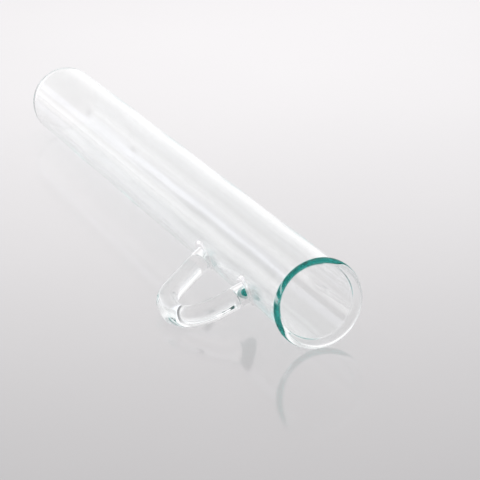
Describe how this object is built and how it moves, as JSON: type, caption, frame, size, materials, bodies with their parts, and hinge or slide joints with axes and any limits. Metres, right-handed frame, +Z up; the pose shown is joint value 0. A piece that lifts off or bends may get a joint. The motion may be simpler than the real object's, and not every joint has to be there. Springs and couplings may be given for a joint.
{
  "type": "test tube",
  "caption": "Clear glass test tube with a round bottom, a flared and fire-polished mouth and a finger loop of glass rod welded on near the mouth, lying on its side.",
  "frame": {"origin": "middle of the footprint, on the table that the tube lies on", "axes": "+X along the tube from the round bottom to the mouth, +Z up from the table, the handle towards -Y"},
  "size_m": [0.2001, 0.0384, 0.022],
  "materials": {
    "clear_glass": "polished clear glass",
    "rim_glass": "fire-polished glass that shows teal along its edge",
    "rod_glass": "polished clear glass rod",
    "weld_glass": "fused clear glass"
  },
  "bodies": {
    "root": {"tube_wall": "clear_glass", "round_bottom": "clear_glass", "mouth_rim": "rim_glass", "handle_loop": "rod_glass", "front_weld": "weld_glass", "rear_weld": "weld_glass"}
  },
  "joints": []
}
